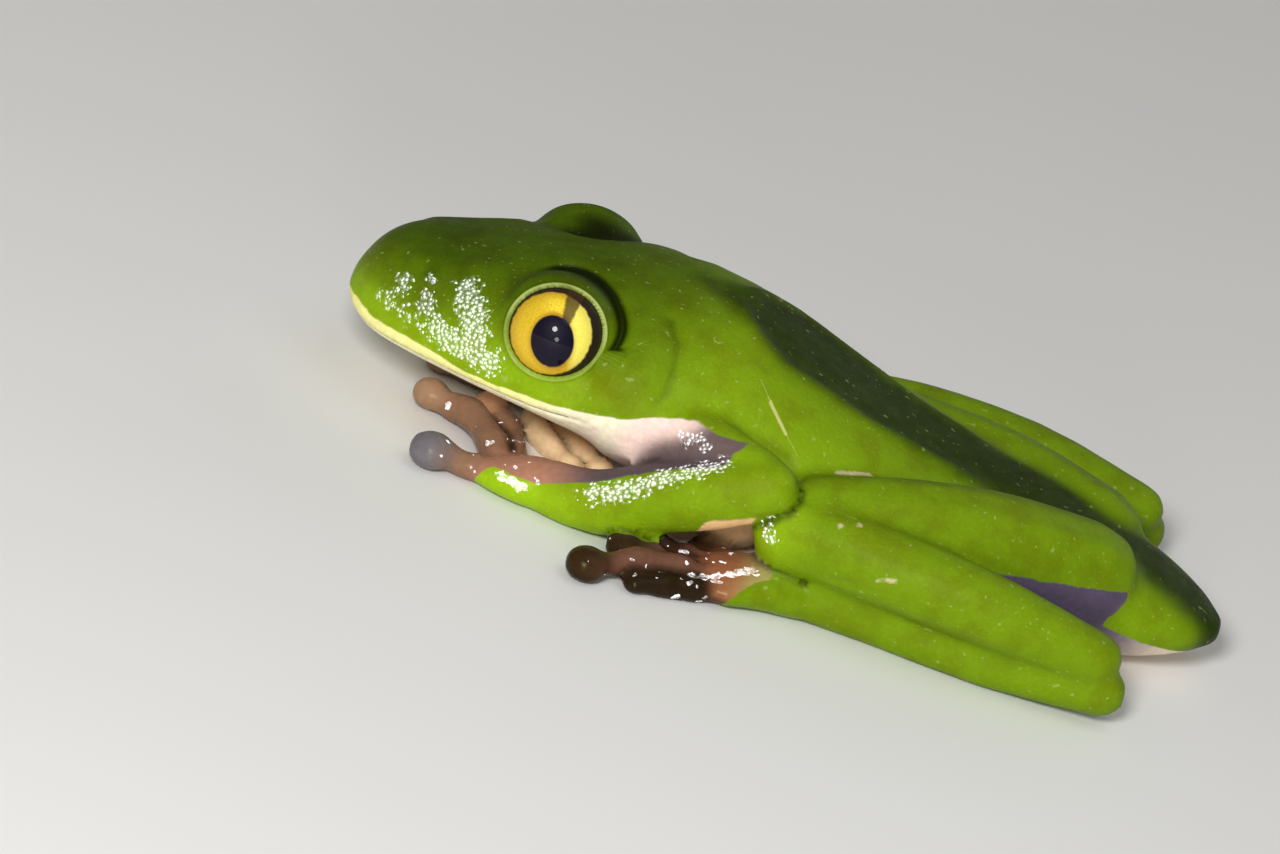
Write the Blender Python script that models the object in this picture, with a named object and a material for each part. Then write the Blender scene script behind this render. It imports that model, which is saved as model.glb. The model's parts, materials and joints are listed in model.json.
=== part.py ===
import math

import bmesh
import bpy
from mathutils import Matrix, Vector

# A leaf frog at rest, life size: snout towards -X, left side towards -Y, belly and soles on z = 0.
# Driving dimensions are in millimetres and become metres in mm().
GAP = 0.3                    # clearance between neighbouring pieces
BODY_LENGTH = 69.0           # snout tip to rump
NECK_X = 24.4                # plane between head and torso, behind the eardrum
JAW_ANGLE_X = 21.2           # rear end of the mouth line
JAW_INSET = 0.45             # how far the lower jaw sits inside the upper lip
JAW_START = 0.45             # its front end behind the snout tip
JAW_RUN_OUT = 1.0            # how far it is lofted past the jaw angle before it is cut there
BLOCK_MARGIN = 3.0           # how far the block that parts the jaws reaches past the snout and the floor
BLOCK_REACH = 20.0           # and to each side
LIP_RADIUS = 0.5             # rounded edge of the upper lip
LIP_START = 0.35             # where that edge begins and ends
LIP_END = 20.6
LIP_SINK = 0.75              # how deep its middle lies under the skin, in lip radii
LIP_LIFT = 0.85              # and how far above the mouth line
LIP_STEPS = 12               # sections along each half of it
LIP_CROWDING = 1.5           # above 1 they lie closer together round the snout
LIP_SIDES = 6                # points round a section of the lip and of the lids' rim
END_CAP_ANGLES = (32, 64)    # degrees where the rings of a limb's rounded end lie
BODY_SIDES = 32              # points round a body section
LIMB_SIDES = 12              # points round a limb section
DIGIT_SIDES = 10             # points round a finger or toe section

# Body profiles: distance behind the snout tip, then the value there.
HALF_WIDTH = ((0.0, 1.0), (0.7, 2.8), (2.0, 4.4), (4.0, 6.1), (7.0, 7.8), (10.0, 9.2), (13.0, 10.2),
              (17.0, 11.1), (22.0, 11.5), (28.0, 11.3), (34.0, 11.5), (41.0, 11.0), (48.0, 9.2),
              (55.0, 7.9), (62.0, 6.4), (66.0, 4.6), (68.2, 2.6), (69.0, 1.1))
WIDEST_HEIGHT = ((0.0, 6.6), (0.7, 5.8), (2.0, 5.5), (5.0, 5.8), (9.0, 6.2), (13.0, 6.5), (17.0, 6.8),
                 (21.0, 7.4), (27.0, 7.4), (34.0, 6.6), (48.0, 5.4), (62.0, 4.2), (69.0, 3.6))
TOP_HEIGHT = ((0.0, 7.7), (0.6, 9.4), (1.8, 11.1), (3.5, 12.2), (7.0, 13.1), (12.0, 14.5), (17.0, 15.5),
              (22.0, 16.0), (27.0, 16.0), (34.0, 14.0), (41.0, 11.7), (48.0, 10.2), (55.0, 9.2),
              (62.0, 7.5), (66.5, 5.8), (69.0, 4.4))
BOTTOM_HEIGHT = ((0.0, 5.6), (0.8, 4.6), (2.0, 3.9), (5.0, 3.6), (10.0, 3.6), (17.0, 3.2), (22.0, 2.4),
                 (28.0, 1.5), (34.0, 0.6), (40.0, -0.3), (48.0, -0.6), (58.0, -0.4), (63.0, 0.4),
                 (69.0, 2.8))
TOP_POWER = ((0.0, 2.4), (8.0, 2.4), (16.0, 2.3), (24.0, 2.1), (69.0, 2.0))
BOTTOM_POWER = ((0.0, 1.7), (15.0, 1.7), (24.0, 2.2), (32.0, 2.5), (69.0, 2.5))

EYE_RADIUS = 3.75
EYE_CENTRE = (15.7, 6.95, 11.15)    # for the right eye; the left one is its mirror image
LID_RADIUS = 4.7                    # outside of the lids over the eyeball
OPENING_RADIUS = 3.4                # round opening between the lids
OPENING_FORWARD = 3.0               # degrees that the opening faces ahead of straight sideways
OPENING_UP = 26.0                   # degrees that it faces up
OPENING_DEPTH = 9.0                 # length of the cutter that clears the opening
OPENING_TAPER = (0.98, 1.05)        # its radius at the eyeball's centre and outside, in opening radii
LID_RIM = 0.34                      # thickness of the raised rim of the lids
RIM_SPREAD = 0.28                   # how far outside the opening the rim's middle runs
RIM_SINK = 0.15                     # how deep the rim's middle lies under the lids' surface
RIM_STEPS = 22                      # sections round it

NOSTRIL_CENTRE = (5.9, 5.1, 10.75)
NOSTRIL_RADIUS = 0.75
NOSTRIL_BORE = 0.26                 # radius of the hole, which opens back and outwards
NOSTRIL_BACK = 20.0                 # degrees
NOSTRIL_UP = 10.0
BORE_START = 0.35                   # how far outside the bump's centre the hole ends
BORE_LENGTH = 2.0
BORE_FLARE = 1.6                    # radius of the hole's mouth over that of its inner end
EARDRUM_CENTRE = (21.2, 9.75, 11.2)
EARDRUM_RADIUS = 1.7
EARDRUM_RISE = 0.9
EARDRUM_TAPER = 0.85                # radius of its face over that of its foot
EARDRUM_BACK = 8.0                  # degrees that the eardrum faces back, and up
EARDRUM_UP = 30.0

# Limb centre lines: x, distance out, height, half-width, half-height. The left hand lies beside the
# chin and the right one under the throat, with its elbow lower and its inner fingers spread back.
UPPER_ARM_LEFT = ((25.0, 8.4, 8.2, 2.6, 2.8), (29.3, 11.3, 8.7, 2.3, 2.4), (33.6, 13.9, 8.9, 2.0, 2.1))
UPPER_ARM_RIGHT = ((25.0, 8.4, 7.4, 2.6, 2.8), (29.0, 11.6, 6.7, 2.3, 2.4), (32.4, 13.4, 6.0, 2.0, 2.1))
FOREARM_LEFT = ((34.3, 14.5, 8.8, 2.0, 2.2), (31.0, 14.3, 7.0, 2.4, 2.6), (27.3, 13.7, 4.95, 2.5, 2.7),
                (22.9, 13.15, 2.5, 2.35, 2.5), (19.2, 12.3, 1.8, 2.3, 2.15))
FOREARM_RIGHT = ((32.8, 13.8, 5.9, 2.0, 2.1), (29.8, 13.6, 5.0, 2.4, 2.5), (26.6, 12.8, 3.6, 2.4, 2.4),
                 (23.4, 10.8, 2.2, 1.9, 1.9), (21.0, 8.3, 1.5, 1.5, 1.4))
THIGH_LEFT = ((58.0, 4.0, 5.8, 4.2, 4.4), (51.0, 7.6, 6.9, 4.2, 4.6), (44.0, 10.4, 7.2, 3.6, 4.1),
              (37.4, 12.4, 6.8, 2.8, 3.2))
THIGH_RIGHT = ((58.0, 4.0, 5.2, 4.0, 4.2), (51.0, 7.2, 5.6, 4.0, 4.0), (44.0, 9.8, 5.4, 3.4, 3.4),
               (38.4, 11.6, 5.0, 2.7, 2.8))
SHANK_LEFT = ((36.2, 14.1, 5.8, 2.4, 3.0), (43.0, 15.0, 6.3, 2.9, 3.0), (51.5, 15.4, 6.1, 2.7, 2.8),
              (60.5, 14.6, 4.9, 2.0, 2.1))
SHANK_RIGHT = ((38.0, 13.4, 4.9, 2.4, 2.5), (44.5, 14.3, 5.3, 2.8, 2.5), (52.5, 14.4, 5.3, 2.6, 2.4),
               (60.9, 13.4, 4.5, 2.0, 2.0))
TARSUS = ((61.8, 14.4, 2.6, 1.8, 1.9), (53.0, 14.6, 1.7, 1.8, 1.9), (45.0, 14.3, 1.75, 1.8, 2.0),
          (40.0, 14.2, 1.75, 2.1, 2.1))
FOOT = ((39.2, 14.2, 1.65, 2.3, 2.0), (35.6, 14.6, 1.5, 3.0, 1.85), (32.8, 15.5, 1.1, 3.3, 1.45))
PALM_LEFT = ((18.4, 12.0, 1.65, 2.5, 2.0), (16.6, 11.5, 1.3, 2.7, 1.65), (15.0, 10.9, 0.95, 2.6, 1.2))
PALM_RIGHT = ((20.3, 7.5, 1.1, 1.4, 1.3), (18.9, 5.0, 0.95, 2.1, 1.2), (17.8, 3.2, 0.85, 2.4, 1.1))

# Digits: points from root to tip (x, distance out, lift off the floor), stalk half-width, disc radius.
FINGERS_LEFT = (
    (((17.6, 10.6, 0.1), (17.7, 7.4, 0.0)), 0.8, 1.0),
    (((15.9, 9.0, 0.1), (14.8, 4.6, 0.4), (12.9, 1.2, 0.0)), 1.0, 1.45),
    (((14.9, 9.6, 0.1), (12.4, 5.0, 0.5), (8.5, 2.7, 0.0)), 1.1, 1.5),
    (((14.2, 11.6, 0.1), (10.1, 12.2, 0.0)), 1.0, 1.75),
)
FINGERS_RIGHT = (
    (((18.0, 1.8, 0.1), (19.3, -1.6, 0.1), (22.1, -4.2, 0.0)), 0.95, 1.1),
    (((16.4, 2.2, 0.1), (16.3, -1.6, 0.1), (19.8, -5.3, 0.0)), 0.95, 1.1),
    (((15.9, 3.0, 0.1), (12.0, 3.3, 0.2), (8.3, 3.9, 0.0)), 0.9, 1.4),
    (((16.2, 4.8, 0.1), (10.6, 7.8, 0.0)), 0.9, 1.5),
)
TOES = (
    (((34.0, 12.5, 0.3), (30.9, 11.0, 0.1)), 0.9, 1.05),
    (((32.8, 13.6, 0.2), (28.1, 13.2, 0.0)), 0.9, 1.2),
    (((31.8, 15.0, 0.1), (25.6, 15.8, 0.0)), 0.9, 1.4),
    (((31.4, 16.4, 0.4), (27.5, 17.7, 0.7), (23.5, 21.0, 0.0)), 0.95, 1.65),
    (((32.2, 17.8, 0.1), (27.3, 20.1, 0.0)), 0.9, 1.05),
)
FLANK_FOLD_CENTRE = (32.4, 8.0, 3.2)     # the loose skin that bulges out between arm and thigh
FLANK_FOLD_RADIUS = 2.9
FLANK_FOLD_MESH = (14, 8)    # segments and rings of the ball
JOINT_SWELL = 0.14           # how much thicker a digit is at its joints
SOLE_FLAT = 0.18             # how far the underside of a digit is pressed flat
DISC_FLATNESS = 0.85         # height of a disc over its width
DISC_ANGLES = (-50, -18, 18, 50, 74)     # degrees where the rings of a disc lie, root to tip
DISC_TIP_HEIGHT = 0.35       # least height of a ring over the disc's height, for a blunt tip
FINGER_WEB = 0.3             # share of the finger that the web reaches along
TOE_WEB = 0.5
WEB_NOTCH = 0.72             # how far the middle of a web's edge reaches, as a share of its sides
WEB_HEIGHTS = (0.2, 0.8)     # underside and top of a web

# Colours and roughness of the materials.
GREEN = ("leaf_green_skin", (0.12, 0.30, 0.02), 0.35)
CREAM = ("cream_skin", (0.86, 0.72, 0.52), 0.4)
MAUVE = ("mauve_skin", (0.20, 0.12, 0.12), 0.35)
GOLD = ("golden_eye", (0.85, 0.50, 0.02), 0.1)

for leftover in list(bpy.data.objects):
    bpy.data.objects.remove(leftover, do_unlink=True)

materials = {}


def mm(*values):
    """A point given in millimetres from the snout tip, in metres with the body's middle near x = 0."""
    x, y, z = values
    return Vector(((x - BODY_LENGTH / 2) * 0.001, y * 0.001, z * 0.001))


def material(look):
    name, colour, roughness = look
    if name not in materials:
        made = bpy.data.materials.new(name)
        made.use_nodes = True
        shader = made.node_tree.nodes["Principled BSDF"]
        shader.inputs["Base Color"].default_value = (*colour, 1.0)
        shader.inputs["Roughness"].default_value = roughness
        shader.inputs["Metallic"].default_value = 0.0
        materials[name] = made
    return materials[name]


def smooth(knots, at):
    """The value at a distance along a smooth curve through the knots."""
    last = len(knots) - 1
    at = min(max(at, knots[0][0]), knots[last][0])
    index = 0
    while index < last - 1 and at > knots[index + 1][0]:
        index += 1
    slopes = []
    for here in (index, index + 1):
        before = knots[max(here - 1, 0)]
        after = knots[min(here + 1, last)]
        slopes.append((after[1] - before[1]) / (after[0] - before[0]))
    (x0, y0), (x1, y1) = knots[index], knots[index + 1]
    span = x1 - x0
    t = (at - x0) / span
    return ((2 * t**3 - 3 * t**2 + 1) * y0 + (t**3 - 2 * t**2 + t) * span * slopes[0]
            + (3 * t**2 - 2 * t**3) * y1 + (t**3 - t**2) * span * slopes[1])


def finish(name, bm, look, keep_above_floor=True):
    """A mesh object from the bmesh, with no point below the floor."""
    if keep_above_floor:
        for vertex in bm.verts:
            vertex.co.z = max(vertex.co.z, 0.0)
    bmesh.ops.recalc_face_normals(bm, faces=bm.faces)
    mesh = bpy.data.meshes.new(name)
    bm.to_mesh(mesh)
    bm.free()
    mesh.shade_smooth()
    mesh.materials.append(material(look))
    made = bpy.data.objects.new(name, mesh)
    bpy.context.scene.collection.objects.link(made)
    return made


def loft(name, rings, look):
    """A closed body through rings of points that all have the same count."""
    bm = bmesh.new()
    rows = [[bm.verts.new(point) for point in ring] for ring in rings]
    count = len(rows[0])
    for row, following in zip(rows, rows[1:]):
        for side in range(count):
            after = (side + 1) % count
            bm.faces.new((row[side], row[after], following[after], following[side]))
    bm.faces.new(rows[0])
    bm.faces.new(rows[-1])
    return finish(name, bm, look)


def body_ring(x, inset=0.0):
    """One cross-section of the head and torso, flatter below than above."""
    half_width = smooth(HALF_WIDTH, x) - inset
    middle = smooth(WIDEST_HEIGHT, x)
    top = smooth(TOP_HEIGHT, x) - middle
    bottom = middle - smooth(BOTTOM_HEIGHT, x) - inset
    ring = []
    for side in range(BODY_SIDES):
        angle = 2 * math.pi * side / BODY_SIDES
        across, up = math.cos(angle), math.sin(angle)
        power = smooth(TOP_POWER if up > 0 else BOTTOM_POWER, x)
        reach = (abs(across) ** power + abs(up) ** power) ** (-1 / power)
        height = up * reach * (top if up > 0 else bottom)
        ring.append(mm(x, across * reach * half_width, middle + height))
    return ring


def body(name, start, end, steps, look, inset=0.0, crowding=1.0):
    """The head or torso between two distances; crowding above 1 sets more rings near the start."""
    rings = []
    for step in range(steps + 1):
        share = (step / steps) ** crowding
        rings.append(body_ring(start + (end - start) * share, inset))
    return loft(name, rings, look)


def path_point(knots, at):
    """A point of a limb's centre line, with its half-width and half-height."""
    return [smooth([(index, knot[axis]) for index, knot in enumerate(knots)], at)
            for axis in range(len(knots[0]))]


def tube(name, samples, sides, look):
    """A closed body along samples of (x, y, z, half-width, half-height) in millimetres."""
    rings = []
    last = len(samples) - 1
    for index, sample in enumerate(samples):
        ahead = Vector(samples[min(index + 1, last)][:3])
        behind = Vector(samples[max(index - 1, 0)][:3])
        along = (ahead - behind).normalized()
        across = along.cross(Vector((0, 0, 1))).normalized()
        up = across.cross(along)
        centre = Vector(sample[:3])
        ring = []
        for side in range(sides):
            angle = 2 * math.pi * side / sides
            offset = across * math.cos(angle) * sample[3] + up * math.sin(angle) * sample[4]
            ring.append(mm(*(centre + offset)))
        rings.append(ring)
    return loft(name, rings, look)


def rounded_ends(samples):
    """The samples with shrinking rings added past both ends."""
    def cap(end, inner):
        direction = (Vector(end[:3]) - Vector(inner[:3])).normalized()
        reach = min(end[3], end[4])
        rings = []
        for angle in END_CAP_ANGLES:
            grow = math.radians(angle)
            centre = Vector(end[:3]) + direction * reach * math.sin(grow)
            rings.append((*centre, end[3] * math.cos(grow), end[4] * math.cos(grow)))
        return rings
    return cap(samples[0], samples[1])[::-1] + samples + cap(samples[-1], samples[-2])


def limb(name, knots, steps, look, side):
    """A limb section through its knots; side is -1 for left and 1 for right."""
    samples = []
    for step in range(steps + 1):
        x, out, up, half_width, half_height = path_point(knots, (len(knots) - 1) * step / steps)
        samples.append((x, out * side, up, half_width, half_height))
    return tube(name, rounded_ends(samples), LIMB_SIDES, look)


def digit(name, points, stalk, disc, look, side):
    """A finger or toe: a slim stalk with a swollen joint, ending in a round flat disc."""
    knots = [(x, out * side, lift) for x, out, lift in points]
    steps = 5
    path = [Vector(path_point(knots, (len(knots) - 1) * step / steps)) for step in range(steps + 1)]
    tip = path[-1]
    direction = (tip - path[-2]).normalized()
    disc_height = DISC_FLATNESS * disc
    samples = []
    for step, point in enumerate(path[:-1]):
        if (tip - point).length > disc:
            radius = stalk * (1.0 + JOINT_SWELL * math.sin(math.pi * step / 2) ** 2)
            samples.append((point.x, point.y, point.z + radius - SOLE_FLAT, radius, radius))
    for angle in DISC_ANGLES:
        turn = math.radians(angle)
        centre = tip + direction * disc * math.sin(turn)
        shrink = max(math.cos(turn), DISC_TIP_HEIGHT)
        samples.append((centre.x, centre.y, tip.z + disc_height - SOLE_FLAT, disc * math.cos(turn),
                        disc_height * shrink))
    return tube(name, samples, DIGIT_SIDES, look)


def web(name, points, next_points, share, look, side):
    """A thin fan between one digit and the next, out to a share of their lengths."""
    def at(knots, where):
        return path_point(knots, (len(knots) - 1) * where)
    corners = [at(points, 0.0), at(points, share), at(next_points, share), at(next_points, 0.0)]
    reach = share * WEB_NOTCH
    notch = [(a + b) / 2 for a, b in zip(at(points, reach), at(next_points, reach))]
    corners.insert(2, notch)
    rings = [[mm(x, out * side, height) for x, out, _ in corners] for height in WEB_HEIGHTS]
    return loft(name, rings, look)


def apply_modifiers(thing):
    evaluated = thing.evaluated_get(bpy.context.evaluated_depsgraph_get())
    mesh = bpy.data.meshes.new_from_object(evaluated)
    thing.modifiers.clear()
    thing.data = mesh


def keep_largest(thing):
    """Drop every closed surface but the one with the largest area."""
    bm = bmesh.new()
    bm.from_mesh(thing.data)
    unseen = set(bm.faces)
    groups = []
    while unseen:
        group = []
        queue = [unseen.pop()]
        while queue:
            face = queue.pop()
            group.append(face)
            for edge in face.edges:
                for other in edge.link_faces:
                    if other in unseen:
                        unseen.remove(other)
                        queue.append(other)
        groups.append(group)
    groups.sort(key=lambda faces: sum(face.calc_area() for face in faces))
    spare = [face for group in groups[:-1] for face in group]
    if spare:
        bmesh.ops.delete(bm, geom=spare, context="FACES")
    bm.to_mesh(thing.data)
    bm.free()


def combine(thing, others, operation):
    """Join the others to the thing, or cut them from it, and remove them."""
    group = bpy.data.collections.new(thing.name + "_pieces")
    for other in others:
        other.hide_render = True
        other.display_type = "WIRE"
        group.objects.link(other)
    boolean = thing.modifiers.new(operation.title(), "BOOLEAN")
    boolean.operation = operation
    boolean.operand_type = "COLLECTION"
    boolean.collection = group
    boolean.solver = "EXACT"
    apply_modifiers(thing)
    for other in others:
        bpy.data.objects.remove(other, do_unlink=True)
    bpy.data.collections.remove(group)
    keep_largest(thing)
    thing.data.shade_smooth()
    return thing


def grown(thing):
    """A copy of the thing with its surface moved outwards by the gap."""
    copy = thing.copy()
    copy.data = thing.data.copy()
    copy.name = thing.name + "_grown"
    bpy.context.scene.collection.objects.link(copy)
    bm = bmesh.new()
    bm.from_mesh(copy.data)
    bmesh.ops.remove_doubles(bm, verts=bm.verts, dist=0.00001)
    bm.normal_update()
    offsets = [(vertex, vertex.normal * GAP * 0.001) for vertex in bm.verts]
    for vertex, offset in offsets:
        vertex.co += offset
    bm.to_mesh(copy.data)
    bm.free()
    return copy


def clear_of(thing, neighbours):
    """Trim the thing so that it meets each neighbour face to face across the gap."""
    for neighbour in neighbours:
        combine(thing, [grown(neighbour)], "DIFFERENCE")
    return thing


def ball(name, centre, radius, segments=20, rings=12, look=GREEN):
    bm = bmesh.new()
    bmesh.ops.create_uvsphere(bm, u_segments=segments, v_segments=rings, radius=radius * 0.001)
    bmesh.ops.translate(bm, verts=bm.verts, vec=mm(*centre))
    return finish(name, bm, look)


def facing(side, forward, up):
    """A unit direction out of one side of the head."""
    ahead, rise = math.radians(forward), math.radians(up)
    return Vector((-math.sin(ahead) * math.cos(rise), side * math.cos(ahead) * math.cos(rise),
                   math.sin(rise)))


def cone(name, base, direction, length, base_radius, end_radius, sides=20):
    """A closed cone or cylinder from a base point in millimetres along a direction."""
    bm = bmesh.new()
    turn = direction.to_track_quat("Z", "Y").to_matrix().to_4x4()
    middle = mm(*base) + direction * length * 0.0005
    bmesh.ops.create_cone(bm, cap_ends=True, segments=sides, radius1=base_radius * 0.001,
                          radius2=end_radius * 0.001, depth=length * 0.001,
                          matrix=Matrix.Translation(middle) @ turn)
    return finish(name, bm, GREEN, keep_above_floor=False)


def torus(name, centre, direction, radius, thickness):
    turn = direction.to_track_quat("Z", "Y").to_matrix()
    bm = bmesh.new()
    rows = []
    for step in range(RIM_STEPS):
        around = 2 * math.pi * step / RIM_STEPS
        outward = Vector((math.cos(around), math.sin(around), 0))
        row = []
        for side in range(LIP_SIDES):
            angle = 2 * math.pi * side / LIP_SIDES
            local = outward * (radius + thickness * math.cos(angle))
            local.z = thickness * math.sin(angle)
            row.append(bm.verts.new(mm(*centre) + turn @ local * 0.001))
        rows.append(row)
    for step in range(RIM_STEPS):
        following = rows[(step + 1) % RIM_STEPS]
        for side in range(LIP_SIDES):
            after = (side + 1) % LIP_SIDES
            bm.faces.new((rows[step][side], rows[step][after], following[after], following[side]))
    return finish(name, bm, GREEN)


def lip():
    """The rounded rim of the upper lip, from one jaw angle round the snout to the other."""
    half = []
    for step in range(LIP_STEPS + 1):
        x = LIP_START + (LIP_END - LIP_START) * (step / LIP_STEPS) ** LIP_CROWDING
        out = smooth(HALF_WIDTH, x) - LIP_RADIUS * LIP_SINK
        half.append((x, out, smooth(WIDEST_HEIGHT, x) + LIP_RADIUS * LIP_LIFT))
    samples = [(x, -out, up, LIP_RADIUS, LIP_RADIUS) for x, out, up in half[::-1]]
    samples += [(x, out, up, LIP_RADIUS, LIP_RADIUS) for x, out, up in half]
    return tube("lip_rim", rounded_ends(samples), LIP_SIDES, CREAM)


def mouth_block(name, raise_by, end):
    """Everything below the mouth line and ahead of the jaw angle."""
    outline = []
    steps = 20
    for step in range(steps + 1):
        x = (end + BLOCK_MARGIN) * step / steps - BLOCK_MARGIN
        outline.append((x, smooth(WIDEST_HEIGHT, max(x, 0.0)) + raise_by))
    outline += [(end, -BLOCK_MARGIN), (-BLOCK_MARGIN, -BLOCK_MARGIN)]
    rings = [[mm(x, across, z) for x, z in outline] for across in (-BLOCK_REACH, BLOCK_REACH)]
    bm = bmesh.new()
    rows = [[bm.verts.new(point) for point in ring] for ring in rings]
    count = len(outline)
    for index in range(count):
        after = (index + 1) % count
        bm.faces.new((rows[0][index], rows[0][after], rows[1][after], rows[1][index]))
    bm.faces.new(rows[0])
    bm.faces.new(rows[1])
    return finish(name, bm, GREEN, keep_above_floor=False)


def mirrored(point, side):
    return (point[0], point[1] * side, point[2])


def head():
    skull = body("head", 0.0, NECK_X - GAP / 2, 24, GREEN, crowding=1.35)
    added = [lip()]
    for side in (-1, 1):
        added.append(ball(f"lids_{side}", mirrored(EYE_CENTRE, side), LID_RADIUS))
        nostril = mirrored(NOSTRIL_CENTRE, side)
        added.append(ball(f"nostril_{side}", nostril, NOSTRIL_RADIUS, 10, 6))
        drum = mirrored(EARDRUM_CENTRE, side)
        level = facing(side, -EARDRUM_BACK, EARDRUM_UP)
        added.append(cone(f"drum_{side}", drum, level, EARDRUM_RISE, EARDRUM_RADIUS,
                          EARDRUM_RADIUS * EARDRUM_TAPER, 16))
    combine(skull, added, "UNION")
    cut = [mouth_block("mouth_cut", 0.0, JAW_ANGLE_X)]
    for side in (-1, 1):
        eye = mirrored(EYE_CENTRE, side)
        look = facing(side, OPENING_FORWARD, OPENING_UP)
        cut.append(ball(f"socket_{side}", eye, EYE_RADIUS + GAP, 18, 11))
        cut.append(cone(f"opening_{side}", eye, look, OPENING_DEPTH, OPENING_RADIUS * OPENING_TAPER[0],
                        OPENING_RADIUS * OPENING_TAPER[1]))
    combine(skull, cut, "DIFFERENCE")
    rims = []
    for side in (-1, 1):
        look = facing(side, OPENING_FORWARD, OPENING_UP)
        depth = math.sqrt((LID_RADIUS - RIM_SINK) ** 2 - OPENING_RADIUS ** 2)
        centre = Vector(mirrored(EYE_CENTRE, side)) + look * depth
        rims.append(torus(f"rim_{side}", centre, look, OPENING_RADIUS + RIM_SPREAD, LID_RIM))
    combine(skull, rims, "UNION")
    bores = []
    for side in (-1, 1):
        look = facing(side, -NOSTRIL_BACK, NOSTRIL_UP)
        start = Vector(mirrored(NOSTRIL_CENTRE, side)) + look * BORE_START
        bores.append(cone(f"bore_{side}", start, look, BORE_LENGTH, NOSTRIL_BORE,
                          NOSTRIL_BORE * BORE_FLARE, 10))
    combine(skull, bores, "DIFFERENCE")
    return skull


def lower_jaw():
    jaw = body("lower_jaw", JAW_START, JAW_ANGLE_X + JAW_RUN_OUT, 16, CREAM, JAW_INSET)
    combine(jaw, [mouth_block("jaw_keep", -GAP, JAW_ANGLE_X - GAP)], "INTERSECT")
    return jaw


def eye(side):
    name = "eye_left" if side < 0 else "eye_right"
    return ball(name, mirrored(EYE_CENTRE, side), EYE_RADIUS, 22, 14, GOLD)


def digits(kind, table, web_share, side, look, roots):
    """The digits of one hand or foot, each with its web towards the next, cut clear of each other."""
    label = "left" if side < 0 else "right"
    made = []
    for index, (points, stalk, disc) in enumerate(table):
        made.append(digit(f"{kind}_{index + 1}_{label}", points, stalk, disc, look, side))
    for index in range(len(table) - 1):
        fan = web(f"{kind}_web_{index}", table[index][0], table[index + 1][0], web_share, look, side)
        combine(made[index], [fan], "UNION")
        clear_of(made[index], [made[index + 1]])
    for one in made:
        clear_of(one, roots)
    return made


def arm(side, torso, upper_knots, forearm_knots, palm_knots, finger_table):
    label = "left" if side < 0 else "right"
    forearm = limb(f"forearm_{label}", forearm_knots, 8, GREEN, side)
    clear_of(forearm, [torso])
    upper = limb(f"upper_arm_{label}", upper_knots, 4, MAUVE, side)
    clear_of(upper, [torso, forearm])
    palm = limb(f"hand_{label}", palm_knots, 4, MAUVE, side)
    clear_of(palm, [forearm])
    digits("finger", finger_table, FINGER_WEB, side, MAUVE, [palm])
    return forearm


def leg(side, torso, forearm, thigh_knots, shank_knots):
    label = "left" if side < 0 else "right"
    thigh = limb(f"thigh_{label}", thigh_knots, 8, GREEN, side)
    clear_of(thigh, [torso, forearm])
    shank = limb(f"shank_{label}", shank_knots, 8, GREEN, side)
    clear_of(shank, [torso, thigh, forearm])
    tarsus = limb(f"tarsus_{label}", TARSUS, 6, MAUVE, side)
    clear_of(tarsus, [torso, thigh, shank])
    foot = limb(f"foot_{label}", FOOT, 4, MAUVE, side)
    clear_of(foot, [torso, thigh, shank, tarsus])
    digits("toe", TOES, TOE_WEB, side, MAUVE, [foot, forearm])


def centre_on_floor():
    """Put the origin under the middle of the whole frog, on the floor."""
    things = [thing for thing in bpy.context.scene.objects if thing.type == "MESH"]
    points = [vertex.co for thing in things for vertex in thing.data.vertices]
    low = Vector([min(point[axis] for point in points) for axis in range(3)])
    high = Vector([max(point[axis] for point in points) for axis in range(3)])
    shift = Vector((-(low.x + high.x) / 2, -(low.y + high.y) / 2, -low.z))
    for thing in things:
        thing.data.transform(Matrix.Translation(shift))


head()
lower_jaw()
torso = body("torso", NECK_X + GAP / 2, BODY_LENGTH, 21, GREEN, crowding=0.8)
combine(torso, [ball(f"flank_{side}", mirrored(FLANK_FOLD_CENTRE, side), FLANK_FOLD_RADIUS,
                     *FLANK_FOLD_MESH) for side in (-1, 1)], "UNION")
for side in (-1, 1):
    eye(side)
left_forearm = arm(-1, torso, UPPER_ARM_LEFT, FOREARM_LEFT, PALM_LEFT, FINGERS_LEFT)
right_forearm = arm(1, torso, UPPER_ARM_RIGHT, FOREARM_RIGHT, PALM_RIGHT, FINGERS_RIGHT)
leg(-1, torso, left_forearm, THIGH_LEFT, SHANK_LEFT)
leg(1, torso, right_forearm, THIGH_RIGHT, SHANK_RIGHT)
centre_on_floor()
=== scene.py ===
import json
import math

import bpy
import numpy as np
from mathutils import Matrix, Vector
from mathutils.bvhtree import BVHTree

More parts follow.
